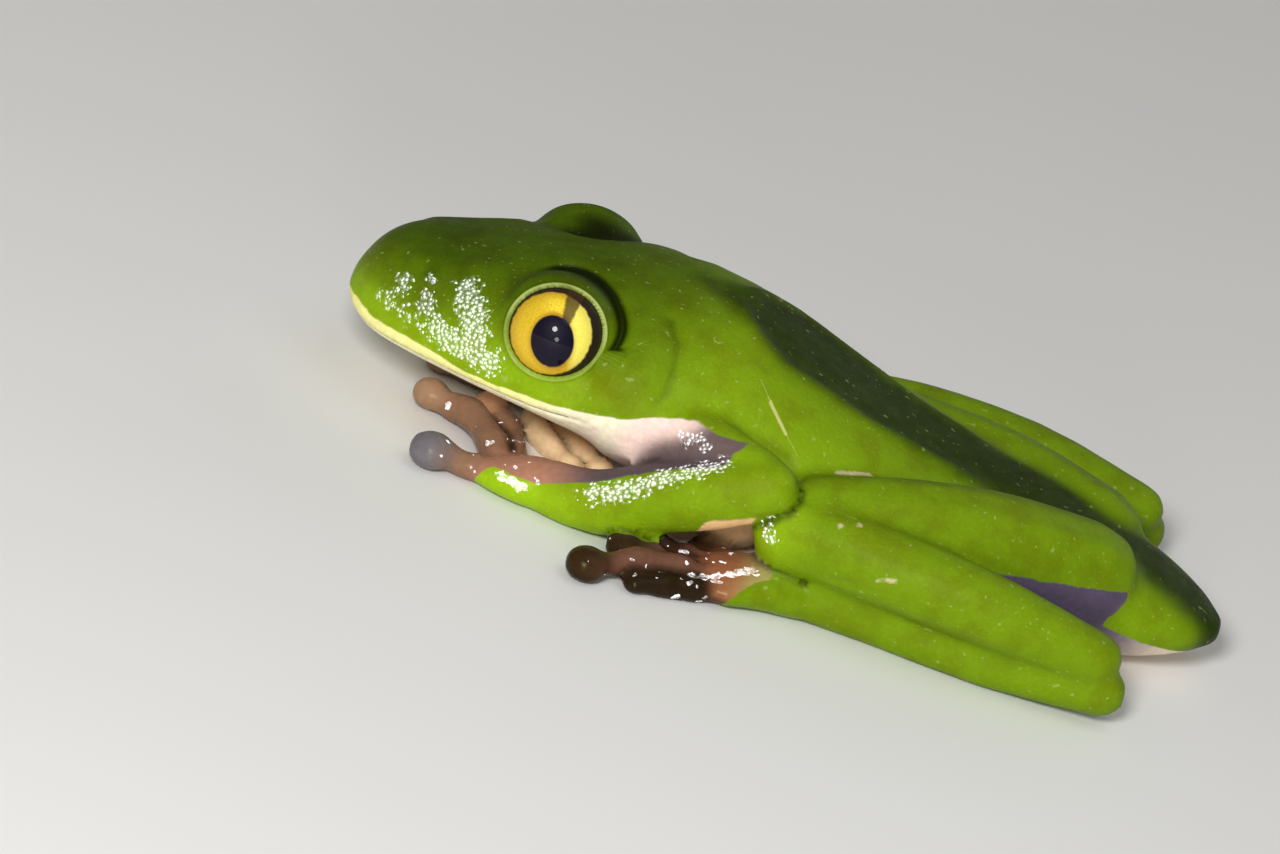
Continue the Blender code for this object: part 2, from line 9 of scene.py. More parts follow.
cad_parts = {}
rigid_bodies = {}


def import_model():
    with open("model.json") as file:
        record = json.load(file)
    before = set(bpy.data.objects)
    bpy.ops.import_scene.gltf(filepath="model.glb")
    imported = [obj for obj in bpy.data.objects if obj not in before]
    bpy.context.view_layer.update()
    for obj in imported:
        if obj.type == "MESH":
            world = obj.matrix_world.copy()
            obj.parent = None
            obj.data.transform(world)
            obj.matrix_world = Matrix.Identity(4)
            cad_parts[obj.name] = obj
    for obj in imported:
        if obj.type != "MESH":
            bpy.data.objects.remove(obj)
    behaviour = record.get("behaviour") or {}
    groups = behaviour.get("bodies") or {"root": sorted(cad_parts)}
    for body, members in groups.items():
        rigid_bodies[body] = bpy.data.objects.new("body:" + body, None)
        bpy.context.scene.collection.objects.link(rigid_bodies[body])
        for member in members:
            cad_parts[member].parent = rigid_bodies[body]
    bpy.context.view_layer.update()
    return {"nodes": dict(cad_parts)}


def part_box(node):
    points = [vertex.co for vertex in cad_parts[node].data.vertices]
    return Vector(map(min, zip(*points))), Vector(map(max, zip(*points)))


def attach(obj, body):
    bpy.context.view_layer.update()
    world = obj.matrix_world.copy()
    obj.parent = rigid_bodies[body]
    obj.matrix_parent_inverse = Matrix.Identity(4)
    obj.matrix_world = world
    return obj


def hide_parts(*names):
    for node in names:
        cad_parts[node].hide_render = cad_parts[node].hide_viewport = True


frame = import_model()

# A leaf frog at rest. Shapes are worked in millimetres behind the snout tip (back), out from the
# middle (out, left is negative) and up from the floor, and go back to the frame's metres at the end.
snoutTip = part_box("head")[0].x
toWork = Matrix.Scale(1000, 4) @ Matrix.Translation((-snoutTip, 0, 0))
toFrame = toWork.inverted()

nodeNames = sorted(frame["nodes"])
fleshNames = [name for name in nodeNames if not name.startswith("eye_")]


def selectOnly(thing):
    bpy.ops.object.select_all(action="DESELECT")
    thing.select_set(True)
    bpy.context.view_layer.objects.active = thing


def applyModifier(thing, kind, **settings):
    selectOnly(thing)
    modifier = thing.modifiers.new(kind.title(), kind)
    for name, value in settings.items():
        setattr(modifier, name, value)
    bpy.ops.object.modifier_apply(modifier=modifier.name)


def setMode(mode):
    bpy.ops.object.mode_set(mode=mode)


def workCopy(name):
    # a merged copy of a CAD node, in millimetres
    mesh = frame["nodes"][name].data.copy()
    mesh.transform(toWork)
    copy = bpy.data.objects.new(f"{name}_copy", mesh)
    bpy.context.scene.collection.objects.link(copy)
    selectOnly(copy)
    setMode("EDIT")
    bpy.ops.mesh.select_all(action="SELECT")
    bpy.ops.mesh.remove_doubles(threshold=skinSettings["mergeWithin"])
    setMode("OBJECT")
    return copy


def pointsOf(mesh):
    flat = np.empty(len(mesh.vertices) * 3)
    mesh.vertices.foreach_get("co", flat)
    return flat.reshape(-1, 3)


def setPoints(mesh, points):
    mesh.vertices.foreach_set("co", points.ravel())
    mesh.update()


def normalsOf(mesh):
    flat = np.empty(len(mesh.vertices) * 3, np.float32)
    mesh.vertex_normals.foreach_get("vector", flat)
    return flat.reshape(-1, 3).astype(float)


def neighbourMean(mesh):
    # a function that averages values over each point's neighbours
    flat = np.empty(len(mesh.edges) * 2, np.int32)
    mesh.edges.foreach_get("vertices", flat)
    one, other = flat.reshape(-1, 2).T
    here, there = np.concatenate((one, other)), np.concatenate((other, one))
    count = len(mesh.vertices)
    degree = np.maximum(np.bincount(here, minlength=count), 1)

    def mean(values):
        if values.ndim == 1:
            return np.bincount(here, values[there], count) / degree
        return np.stack([mean(column) for column in values.T], axis=1)
    return mean


def soften(values, mean, rounds, share=0.5):
    # share is one number, or one for each point
    if np.ndim(share) and values.ndim > 1:
        share = share[:, None]
    for _ in range(rounds):
        values = values + (mean(values) - values) * share
    return values


def fade(values, low, high):
    # 0 below low, 1 above high, smooth between them; low may be above high
    t = np.clip((values - low) / (high - low), 0, 1)
    return t * t * (3 - 2 * t)


def bellAt(distance, width):
    # 1 at the middle, falling off smoothly to all sides
    return np.exp(-(distance / width) ** 2)


def onOneSide(points):
    # a copy in which both sides' points lie on the right
    copy = points.copy()
    copy[:, 1] = np.abs(copy[:, 1])
    return copy


def awayFrom(points, place):
    return np.linalg.norm(points - np.array(place), axis=1)


def curveThrough(knots, at):
    xs, ys = zip(*knots)
    return np.interp(at, xs, ys)


def strokeDistance(points, path):
    # distance of each point from a polyline, and how far along it the nearest place is, 0 to 1
    path = np.array(path, float)
    lengths = np.linalg.norm(np.diff(path, axis=0), axis=1)
    starts = np.concatenate(([0], np.cumsum(lengths)))
    best = np.full(len(points), 1e9)
    along = np.zeros(len(points))
    for index, length in enumerate(lengths):
        direction = (path[index + 1] - path[index]) / length
        reach = np.clip((points - path[index]) @ direction, 0, length)
        distance = np.linalg.norm(points - path[index] - reach[:, None] * direction, axis=1)
        nearer = distance < best
        best[nearer] = distance[nearer]
        along[nearer] = (starts[index] + reach[nearer]) / starts[-1]
    return best, along


# The skin: every flesh node joined into one surface, with the clearances between them closed.
skinSettings = {
    "mergeWithin": 0.005,
    "voxel": 0.365,  # spacing of the new surface
    "kindRounds": 12,  # how gradually the smoothing changes from part to part
    "smoothRounds": 38,
    "restorePasses": 2,  # how often the smoothed skin is moved back onto the nodes
    "restoreRounds": 11,
    "restoreReach": 0.9,
    "lastRounds": 3,
    "fillRadius": 4.6,  # solid ball in each eye socket, just under the lids' surface
}
# how much each kind of node is smoothed, and how far its copy is fattened to close the clearances
softness = {"head": 1.0, "lower_jaw": 0.9, "torso": 1.0, "thigh": 0.9, "shank": 0.8, "upper_arm": 0.6,
            "forearm": 0.6, "tarsus": 0.6, "hand": 0.5, "foot": 0.5, "finger": 0.3, "toe": 0.3}
fattening = {"forearm": 0.14, "finger": 0.12, "toe": 0.12}
usualFattening = 0.26


def kindOf(name):
    # the name without its number and side
    if name in softness:
        return name
    return "_".join(word for word in name.split("_")[:-1] if not word.isdigit())


eyeCentres = {}
for side, label in ((-1, "left"), (1, "right")):
    low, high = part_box(f"eye_{label}")
    eyeCentres[side] = toWork @ ((low + high) / 2)

treePoints, treeFaces, faceOwner = [], [], []


def addToTree(mesh, index):
    # adds a mesh, as the node of that number, to what nearestOnFrame searches
    offset = len(treePoints)
    treePoints.extend(vertex.co.copy() for vertex in mesh.vertices)
    treeFaces.extend([offset + corner for corner in face.vertices] for face in mesh.polygons)
    faceOwner.extend([index] * len(mesh.polygons))


copies = [workCopy(name) for name in fleshNames]
for index, copy in enumerate(copies):
    addToTree(copy.data, index)
fills = []
for centre in eyeCentres.values():
    bpy.ops.mesh.primitive_uv_sphere_add(segments=48, ring_count=24, radius=skinSettings["fillRadius"],
                                         location=centre)
    fills.append(bpy.context.object)
    bpy.ops.object.transform_apply(location=True, rotation=True, scale=True)
    addToTree(fills[-1].data, fleshNames.index("head"))
cadTree = BVHTree.FromPolygons(treePoints, treeFaces)
faceOwner = np.array(faceOwner)
nodeTrees = {name: BVHTree.FromPolygons([vertex.co for vertex in copy.data.vertices],
                                        [face.vertices for face in copy.data.polygons])
             for name, copy in zip(fleshNames, copies)}
nodePoints = {name: pointsOf(copy.data) for name, copy in zip(fleshNames, copies)}

for name, copy in zip(fleshNames, copies):
    thickness = fattening.get(kindOf(name), usualFattening)
    applyModifier(copy, "DISPLACE", strength=thickness, mid_level=0.0, direction="NORMAL")
bpy.ops.object.select_all(action="DESELECT")
for piece in copies + fills:
    piece.select_set(True)
bpy.context.view_layer.objects.active = copies[0]
bpy.ops.object.join()
skin = bpy.context.object
skin.name = skin.data.name = "skin"
applyModifier(skin, "REMESH", mode="VOXEL", voxel_size=skinSettings["voxel"], adaptivity=0.0)


def selectPoints(chosen):
    # leaves the skin in edit mode with only these points selected
    selectOnly(skin)
    setMode("EDIT")
    bpy.ops.mesh.select_all(action="DESELECT")
    bpy.ops.mesh.select_mode(type="VERT")
    setMode("OBJECT")
    skin.data.vertices.foreach_set("select", chosen)
    skin.data.update()
    setMode("EDIT")
    bpy.ops.mesh.select_mode(type="VERT")


# only the outer surface stays, which the rearmost point is on
rearmost = np.zeros(len(skin.data.vertices), bool)
rearmost[np.argmax(pointsOf(skin.data)[:, 0])] = True
selectPoints(rearmost)
bpy.ops.mesh.select_linked()
bpy.ops.mesh.select_all(action="INVERT")
bpy.ops.mesh.delete(type="VERT")
setMode("OBJECT")
print("frog: skin joined,", len(skin.data.polygons), "faces")


def nearestOnFrame(points):
    # the nearest point of the CAD surface for each point, and the node that it is on
    found = [cadTree.find_nearest(point) for point in points]
    return np.array([hit[0] for hit in found]), faceOwner[[hit[2] for hit in found]]


mean = neighbourMean(skin.data)
points = pointsOf(skin.data)
owner = nearestOnFrame(points)[1]
softByNode = np.array([softness[kindOf(name)] for name in fleshNames])
softShare = soften(softByNode[owner], mean, skinSettings["kindRounds"])
points = soften(points, mean, skinSettings["smoothRounds"], 0.5 * softShare)
setPoints(skin.data, points)
farthest = skinSettings["restoreReach"]
for _ in range(skinSettings["restorePasses"]):
    near = nearestOnFrame(points)[0]
    normals = normalsOf(skin.data)
    offsets = np.clip(np.einsum("ij,ij->i", near - points, normals), -farthest, farthest)
    offsets = soften(offsets, mean, skinSettings["restoreRounds"], 0.3 + 0.3 * softShare)
    points = points + normals * offsets[:, None]
    points = soften(points, mean, skinSettings["lastRounds"], 0.25 * softShare)
    setPoints(skin.data, points)
print("frog: skin smoothed")


# Lids: a round opening in front of each eyeball, with a thin rounded edge.
lids = {
    "forward": 3.0,  # degrees that the opening faces ahead of straight sideways, and up
    "up": 26.0,
    "upward": (-0.342, 0.397, 0.852),  # roughly to the left opening's top
    "openingRadius": 3.4,  # as far as the eyeball shows
    "oval": 0.04,  # how much wider than high the opening is
    "edgeRadius": 4.3,  # distance of the lids' edge from the eyeball's centre
    "edgeBead": 0.05, "beadAt": 1.6, "beadWidth": 1.6,  # raised rim: mm, and degrees off the edge
    "hiddenRadius": 3.4,  # the skin inside the opening, out of sight in the eyeball
    "slope": 15.0,  # degrees over which the lids thin out towards their edge
    "reach": 6.2,  # distance from the eyeball's centre that the lids take in
    "creaseRadius": 4.85,  # the groove round the lids' upper rear side
    "creaseIn": 0.95,  # how much closer to the eye it runs at its lower rear end
    "creaseWidth": 0.5, "creaseDepth": 0.9,
    "creaseFrom": -65.0, "creaseTo": 128.0,  # degrees round the eye, from straight back over the top
    "creaseTaper": 50.0,  # degrees over which it deepens from each end
    "creaseTurnsIn": (8.0, -42.0),  # degrees between which it runs inwards
}
eyeball = {
    "radius": 4.0, "cornea": 0.22, "corneaAngle": 50.0,
    "irisOffset": (-0.30, -0.10), "irisRadius": 3.0, "pupilOffset": (-0.16, -0.71), "pupil": (1.6, 1.9),
}


def eyeAxes(side):
    # straight out of the opening, rearwards across it, and up it
    ahead, rise = math.radians(lids["forward"]), math.radians(lids["up"])
    look = Vector((-math.sin(ahead) * math.cos(rise), side * math.cos(ahead) * math.cos(rise),
                   math.sin(rise)))
    upward = Vector(lids["upward"])
    upward.y *= -side
    upward = (upward - look * upward.dot(look)).normalized()
    return look, look.cross(upward) * side, upward


def aroundEye(points, side):
    # distance from the eyeball's centre, and degrees off the opening's middle, less along its width
    offset = points - np.array(eyeCentres[side])
    distance = np.linalg.norm(offset, axis=1)
    look, rearward, upward = (np.array(axis) for axis in eyeAxes(side))
    angle = np.degrees(np.arccos(np.clip(offset @ look / distance, -1, 1)))
    turned = np.arctan2(offset @ upward, offset @ rearward)
    return distance, angle * (1 - lids["oval"] * np.cos(2 * turned))


def acrossEye(points, side):
    # distance off the opening's axis, degrees round it from straight back over the top, and how far out
    look, rearward, upward = eyeAxes(side)
    offset = points - np.array(eyeCentres[side])
    across, rise = offset @ np.array(rearward), offset @ np.array(upward)
    return np.hypot(across, rise), np.degrees(np.arctan2(rise, across)), offset @ np.array(look)


def creaseShape(points, side):
    # 1 in the groove round the lids' upper rear side, 0 away from it
    off, around, ahead = acrossEye(points, side)
    inwards = fade(around, *lids["creaseTurnsIn"])
    first, last, taper = (lids[name] for name in ("creaseFrom", "creaseTo", "creaseTaper"))
    window = fade(around, first, first + taper) * fade(around, last, last - taper)
    window = window * fade(ahead, -4.5, -3.0)
    # narrower where it runs inwards, and over the front
    width = lids["creaseWidth"] * (1 - 0.55 * inwards) * (1 - 0.35 * fade(around, 60, 100))
    radius = lids["creaseRadius"] - lids["creaseIn"] * inwards
    return window * (points[:, 1] * side > 0) * bellAt(off - radius, width)


openingAngle = math.degrees(math.asin(lids["openingRadius"] / (eyeball["radius"] + 0.08)))


def subdivideWhere(chosen):
    # splits each edge that has both ends chosen
    selectPoints(chosen)
    bpy.ops.mesh.subdivide(number_cuts=1, smoothness=0.0)
    setMode("OBJECT")


def nearEyes(low, high):
    points = pointsOf(skin.data)
    chosen = np.zeros(len(points), bool)
    for side in eyeCentres:
        distance, angle = aroundEye(points, side)
        chosen |= (distance < fineMesh["eyeReach"]) & (angle > low) & (angle < high)
    return chosen


farAway = 9.0  # stands for any distance too large to matter
mouth = {
    "front": 23.0, "top": 9.5,  # the mouth line lies before and under these
    "reach": 1.5,  # how far from the head and the jaw it is looked for
    "sink": 0.3, "width": 0.32,
    "endsAt": (20.5, 18.0),
}


def jawSeam(points):
    # how much nearer each point is to the head than to the jaw; far away where it isn't near both
    seam = np.full(len(points), farAway)
    front = np.nonzero((points[:, 0] < mouth["front"]) & (points[:, 2] < mouth["top"]))[0]
    for index in front:
        point = Vector(points[index])
        head = nodeTrees["head"].find_nearest(point, mouth["reach"])
        jaw = nodeTrees["lower_jaw"].find_nearest(point, mouth["reach"])
        if head[0] is not None and jaw[0] is not None:
            seam[index] = jaw[3] - head[3]
    return seam


# a finer mesh where small forms come
fineMesh = {
    "eyeReach": 6.6, "eyeBands": ((-14, 36), (-5, 16)),  # degrees from the opening's edge
    "mouth": 0.7,
    "nostril": (6.0, 5.45, 11.0), "nostrilReaches": (1.3, 0.8),
}
for low, high in fineMesh["eyeBands"]:
    subdivideWhere(nearEyes(openingAngle + low, openingAngle + high))
subdivideWhere(np.abs(jawSeam(pointsOf(skin.data))) < fineMesh["mouth"])
for reach in fineMesh["nostrilReaches"]:
    subdivideWhere(awayFrom(onOneSide(pointsOf(skin.data)), fineMesh["nostril"]) < reach)

# the lids and lips are smoothed, then two places a good deal more, as place, full reach and end
smoothing = {
    "rounds": 8, "eyeReach": (6.8, 6.2), "eyeAngle": (56, 46), "mouth": 1.2, "mouthShare": 0.6,
    "placeRounds": 70,
    "places": (((20.9, 10.6, 6.2), 1.4, 3.4),  # the throat behind the jaw's end
               ((21.5, 10.6, 11.4), 1.5, 2.8)),  # the cheek under the eardrum
}
mean = neighbourMean(skin.data)
points = pointsOf(skin.data)
touched = np.zeros(len(points))
for side in eyeCentres:
    distance, angle = aroundEye(points, side)
    low, high = (openingAngle + degrees for degrees in smoothing["eyeAngle"])
    touched = np.maximum(touched, fade(distance, *smoothing["eyeReach"]) * fade(angle, low, high))
seam = jawSeam(points)
touched = np.maximum(touched, (np.abs(seam) < smoothing["mouth"]) * smoothing["mouthShare"])
points = soften(points, mean, smoothing["rounds"], 0.5 * touched)
bothSides = onOneSide(points)
for place, inner, outer in smoothing["places"]:
    share = 0.5 * fade(awayFrom(bothSides, place), outer, inner)
    points = soften(points, mean, smoothing["placeRounds"], share)
setPoints(skin.data, points)

grooves = np.zeros(len(points))
for side in eyeCentres:
    distance, angle = aroundEye(points, side)
    centre = np.array(eyeCentres[side])
    past = angle - openingAngle
    local = distance < lids["reach"]
    toEdge = 1 - fade(past, 0, lids["slope"])
    edge = distance + (lids["edgeRadius"] - distance) * toEdge
    edge = edge + lids["edgeBead"] * bellAt(past - lids["beadAt"], lids["beadWidth"])
    inside = fade(past, 0.4, -0.9)
    wanted = edge + (lids["hiddenRadius"] - edge) * inside
    move = np.where(local, wanted - distance, 0)
    points = points + (points - centre) / distance[:, None] * move[:, None]
    groove = creaseShape(points, side)
    grooves = np.maximum(grooves, groove)
    points = points - np.array(eyeAxes(side)[0]) * (groove * lids["creaseDepth"])[:, None]
setPoints(skin.data, points)
print("frog: lids opened,", len(skin.data.polygons), "faces")

# Folds and ridges: paths on one side, as back, out and up; height in mm, below 0 for a groove.
folds = {
    "foldBehindEye": {
        "width": 0.8, "height": -0.35,
        "path": ((22.3, 4.9, 15.1), (23.3, 5.9, 14.7), (24.3, 7.4, 13.8), (24.7, 8.9, 12.6),
                 (24.8, 10.2, 11.1), (24.1, 11.2, 9.5))},
    "snoutRidge": {
        "width": 0.9, "height": 0.22,
        "path": ((3.2, 3.4, 11.2), (5.9, 4.1, 12.0), (8.8, 4.5, 12.9), (11.6, 4.7, 13.7))},
    "elbowCrease": {
        "width": 0.4, "height": -0.4,
        "path": ((30.4, 10.5, 10.75), (31.8, 10.75, 10.4), (33.0, 10.8, 10.0), (34.5, 10.65, 9.5),
                 (35.7, 11.0, 9.1), (36.2, 12.4, 9.1), (36.35, 13.8, 9.0))},
    "shankCrease": {
        "width": 0.3, "height": -0.2,
        "path": ((39.6, 17.2, 4.5), (41.0, 17.4, 4.9), (42.6, 17.6, 5.4))},
    "scratch": {
        "width": 0.22, "height": 0.07,
        "path": ((31.8, 7.8, 12.7), (33.1, 8.8, 11.6), (34.4, 9.6, 10.7))},
    "backRidge": {
        "width": 0.8, "height": 0.3,
        "path": ((25.5, 0.9, 16.0), (27.6, 1.2, 15.8), (29.5, 3.6, 15.0), (32.2, 4.9, 13.9),
                 (36.5, 4.4, 12.7), (39.0, 4.5, 11.8), (42.4, 3.8, 11.0), (50.0, 3.2, 9.6))},
}


def tapered(along, share):
    # 0 at both ends of a path, 1 between them
    return fade(along, 0.0, share) * fade(along, 1.0, 1.0 - share)


normals = normalsOf(skin.data)
bothSides = onOneSide(points)
for fold in folds.values():
    distance, along = strokeDistance(bothSides, fold["path"])
    lift = fold["height"] * bellAt(distance, fold["width"]) * tapered(along, 0.15)
    points = points + normals * lift[:, None]
# the mouth line sinks in between the lips
sink = mouth["sink"] * bellAt(jawSeam(points), mouth["width"]) * fade(points[:, 0], *mouth["endsAt"])
points = points - normals * sink[:, None]

# Nostrils: a small raised ring with a hole that opens back and outwards.
nostril = {"place": (5.85, 5.35, 11.05), "ring": 0.55, "rise": 0.28,
           "hole": (6.12, 5.55, 10.9), "bore": 0.17, "depth": 0.4}
lift = nostril["rise"] * bellAt(awayFrom(bothSides, nostril["place"]), nostril["ring"])
lift = lift - nostril["depth"] * bellAt(awayFrom(bothSides, nostril["hole"]), nostril["bore"])
# Eardrums: a flat oval in a low ring.
eardrum = {"place": (21.5, 10.6, 11.4), "squeeze": (1.0, 1.0, 0.85), "radius": 1.15, "width": 0.3,
           "rise": 0.04}
fromEardrum = (bothSides - np.array(eardrum["place"])) * np.array(eardrum["squeeze"])
fromRing = np.linalg.norm(fromEardrum, axis=1) - eardrum["radius"]
lift = lift + eardrum["rise"] * bellAt(fromRing, eardrum["width"])
points = points + normals * lift[:, None]

# Creases: where two parts only lie against each other, the surface sinks in between them.
chains = (("head", "lower_jaw", "torso", "upper_arm", "forearm", "hand", "finger"),
          ("head", "torso", "thigh", "shank", "tarsus", "foot", "toe"))
onBothSides = {("head", "torso"), ("torso", "thigh"), ("lower_jaw", "torso")}
onOneLimb = {pair for chain in chains for pair in zip(chain, chain[1:])}


def sideOf(name):
    return name.split("_")[-1] if name.endswith(("left", "right")) else ""


def joined(one, other):
    # whether one node runs on into the other
    pair = kindOf(one), kindOf(other)
    if one == other or {pair, pair[::-1]} & onBothSides:
        return True
    sides = {sideOf(one), sideOf(other)} - {""}
    return len(sides) < 2 and bool({pair, pair[::-1]} & onOneLimb)


creaseSettings = {
    "reach": 1.1,  # how far from a node its points are measured
    "width": 0.42,
    "endsAt": (1.0, 0.7),  # distance from the second node
    "depth": 0.6,  # the deepest, and how far below the first node it goes
    "below": 0.2,
    "rounds": 3,
}


def measureNodes(points):
    # the node that each point is on, its distance from it, and how far it lies in a crease, 0 to 1
    reach = creaseSettings["reach"]
    nodeDistance = np.full((len(fleshNames), len(points)), farAway)
    for row, name in enumerate(fleshNames):
        low, high = nodePoints[name].min(axis=0) - reach, nodePoints[name].max(axis=0) + reach
        for index in np.nonzero(np.all((points > low) & (points < high), axis=1))[0]:
            found = nodeTrees[name].find_nearest(Vector(points[index]), reach)
            if found[0] is not None:
                nodeDistance[row, index] = found[3]
    owner = np.argmin(nodeDistance, axis=0)
    first = nodeDistance.min(axis=0)
    owner[first == farAway] = fleshNames.index("head")
    second = np.full(len(points), farAway)
    for row, name in enumerate(fleshNames):
        apart = [index for index, other in enumerate(fleshNames) if not joined(name, other)]
        here = owner == row
        second[here] = nodeDistance[apart][:, here].min(axis=0)
    inCrease = bellAt(second - first, creaseSettings["width"]) * fade(second, *creaseSettings["endsAt"])
    return owner, first, inCrease


_, first, crease = measureNodes(points)
crease = soften(crease, mean, creaseSettings["rounds"])
sink = crease * np.minimum(first + creaseSettings["below"], creaseSettings["depth"])
points = points - normals * sink[:, None]
points[:, 2] = np.maximum(points[:, 2], 0.0)
setPoints(skin.data, points)
owner, _, crease = measureNodes(points)
crease = soften(crease, mean, 2)
print("frog: folds made,", len(skin.data.polygons), "faces")

# Measures of the markings, one value for each point of the skin.
kinds = np.array([kindOf(name) for name in fleshNames])[owner]
labels = np.array(fleshNames)[owner]
bothSides = onOneSide(points)
back, out, up = bothSides.T
normals = normalsOf(skin.data)
limbTilt = (0.42, 0.906)  # how much inwards and up count towards the top of a limb
# height that the green reaches down to on the trunk, at each distance back
greenLine = ((0.0, 6.75), (0.8, 6.7), (2.6, 6.42), (5.0, 6.70), (7.4, 6.92), (9.9, 6.80), (12.4, 6.95),
             (14.7, 7.28), (17.0, 7.45), (18.9, 7.74), (20.7, 8.1), (22.5, 8.5), (26.3, 10.1),
             (27.7, 10.6), (29.8, 10.5), (31.0, 9.9), (33.2, 9.0), (35.9, 8.6), (41.0, 8.4), (48.0, 7.0),
             (62.0, 3.6), (69.0, 2.2))


def limbFrame(name):
    # how high and how far inwards each point lies on a limb, as shares of its distance from the
    # limb's middle, and that distance
    own = nodePoints[name]
    fits = [np.polyfit(own[:, 0], own[:, axis], 2) for axis in (1, 2)]
    middle = np.stack([np.polyval(fit, back) for fit in fits], axis=1)
    offset = points[:, 1:] - middle
    radius = np.maximum(np.linalg.norm(offset, axis=1), 0.3)
    side = -1 if name.endswith("left") else 1
    inward = -side * offset[:, 0]
    rise = (inward * limbTilt[0] + offset[:, 1] * limbTilt[1]) / radius
    return rise, inward / radius, radius


green = np.full(len(points), -2.0)
trunk = np.isin(kinds, ("head", "torso", "lower_jaw", "upper_arm"))
# on the right, whose arm lies lower, the green reaches further down behind the head
lowered = 2.6 * (points[:, 1] > 0) * fade(back, 22.5, 27.0) * fade(back, 39.0, 35.0)
green[trunk] = (up - curveThrough(greenLine, back) + lowered)[trunk]
# on these it reaches up to a share of the limb's radius, at each distance back
stripeEdges = {
    "forearm": ((18, 0.0), (20, 0.2), (22, 0.3), (24, 0.5), (27, 0.66), (29, 0.66), (30.5, 0.72),
                (32, 1.0), (34, 1.3)),
    "hand": ((12.5, -0.9), (13.4, -0.2), (14.5, 0.2), (17, 0.0), (18.4, 0.0)),
    "tarsus": ((38, 0.35), (46, 0.45), (60, 0.8)),
    "foot": ((32, -1.2), (35, -0.4), (37, 0.1), (39, 0.3)),
}
for name in fleshNames:
    here = labels == name
    kind = kindOf(name)
    if kind not in (*stripeEdges, "thigh", "shank"):
        continue
    rise, inward, radius = limbFrame(name)
    if kind in stripeEdges:
        field = np.minimum(curveThrough(stripeEdges[kind], back) - rise, 0.75 - inward) * radius
        if kind == "tarsus":
            field = field + 3.0 * fade(back, 55.0, 59.0)
    elif kind == "thigh":
        field = (rise + 0.3) * radius
    else:
        field = np.minimum(rise + 1.2, 1.0 - inward) * radius
    green[here] = field[here]
# the forearm's underside is orange near the elbow
underArm = (kinds == "forearm") * fade(back, 29.4, 30.4) * fade(back, 35.0, 34.4)
green = np.where(underArm > 0.5, np.minimum(green, (normals[:, 2] + 0.42) * 1.5), green)
# a sliver of mauve runs on between the cheek's skin and the left forearm, drawn as the side shows it
sliver = {"path": ((29.6, -2.2, 0.0), (30.9, -1.75, 0.0), (32.2, -0.95, 0.0)),
          "width": 0.75, "narrowing": 0.7,
          "nodes": ("torso", "upper_arm_left", "forearm_left", "head"), "out": 8.0, "above": 7.5,
          "level": 6.2, "tilt": (0.906, 0.423)}  # the side is seen from 25 degrees above
sideUp = (up - sliver["level"]) * sliver["tilt"][0] - out * sliver["tilt"][1]
sideOn = np.stack((back, sideUp, np.zeros(len(points))), axis=1)
distance, along = strokeDistance(sideOn, sliver["path"])
inSliver = np.isin(labels, sliver["nodes"]) & (points[:, 1] < -sliver["out"]) & (up > sliver["above"])
sliverEdge = distance - (sliver["width"] - sliver["narrowing"] * along)
green = np.where(inSliver, np.minimum(green, sliverEdge), green)
green = soften(green, mean, 6)

# colours of the skin that isn't green
pale = {
    "lip": (0.97, 0.93, 0.36), "lipRear": (0.98, 0.92, 0.66), "throat": (0.98, 0.72, 0.63),
    "belly": (0.88, 0.74, 0.58), "violet": (0.10, 0.075, 0.13), "orange": (1.0, 0.63, 0.31),
    "armMauve": (0.15, 0.105, 0.10), "stripe": (0.105, 0.075, 0.085), "hand": (0.44, 0.21, 0.135),
    "finger": (0.27, 0.145, 0.085), "innerFinger": (1.0, 0.71, 0.40), "discGrey": (0.17, 0.155, 0.17),
    "discTan": (0.37, 0.22, 0.13), "toe": (0.16, 0.072, 0.045), "toeDisc": (0.038, 0.018, 0.007),
    "foot": (0.32, 0.125, 0.055), "tarsus": (0.40, 0.35, 0.12), "shank": (0.20, 0.22, 0.07),
    "shadeUnderFoot": (0.022, 0.012, 0.006), "innerPad": (0.80, 0.44, 0.25),
}
pale = {name: np.array(colour) for name, colour in pale.items()}


def blend(first, second, share):
    return first + (second - first) * np.asarray(share)[:, None]


head = blend(pale["lip"], pale["lipRear"], fade(back, 14.0, 20.0))
head = blend(head, pale["throat"], fade(back, 21.0, 24.0))
jaw = blend(pale["lipRear"], pale["throat"], fade(back, 19.0, 22.0) + fade(up, 4.5, 2.5))
below = curveThrough(greenLine, back) - up
# the throat's pink ends in a slanting edge in front of the arm
armward = fade(back - (up - 7.0), 23.9, 25.3) * fade(up, 4.5, 6.0)
flank = blend(blend(pale["throat"], pale["armMauve"], armward), pale["violet"], fade(back, 33.0, 37.0))
lower = blend(pale["throat"], pale["orange"], fade(back, 27.0, 30.0) * fade(back, 46.0, 38.0))
torso = blend(flank, lower, fade(below, 2.6, 4.2) * fade(back, 26.0, 28.0))
torso = blend(torso, pale["belly"], fade(out, 7.0, 4.0) * fade(back, 24.0, 30.0))
arm = blend(pale["throat"], pale["armMauve"], armward)
forearm = blend(pale["hand"], pale["stripe"], fade(back, 18.0, 22.5))
foot = blend(pale["foot"], pale["tarsus"], fade(back, 33.5, 36.5))  # paler towards the heel
tint = np.zeros((len(points), 3))
for kind, colours in (("head", head), ("lower_jaw", jaw), ("torso", torso), ("upper_arm", arm),
                      ("forearm", forearm), ("tarsus", foot), ("foot", foot)):
    tint[kinds == kind] = colours[kinds == kind]
for kind, name in (("hand", "hand"), ("thigh", "violet"), ("shank", "shank"), ("finger", "finger"),
                   ("toe", "toe")):
    tint[kinds == kind] = pale[name]
orangeDigits = ("finger_1_left", "finger_1_right", "finger_2_right")
tint[np.isin(labels, orangeDigits)] = pale["innerFinger"]
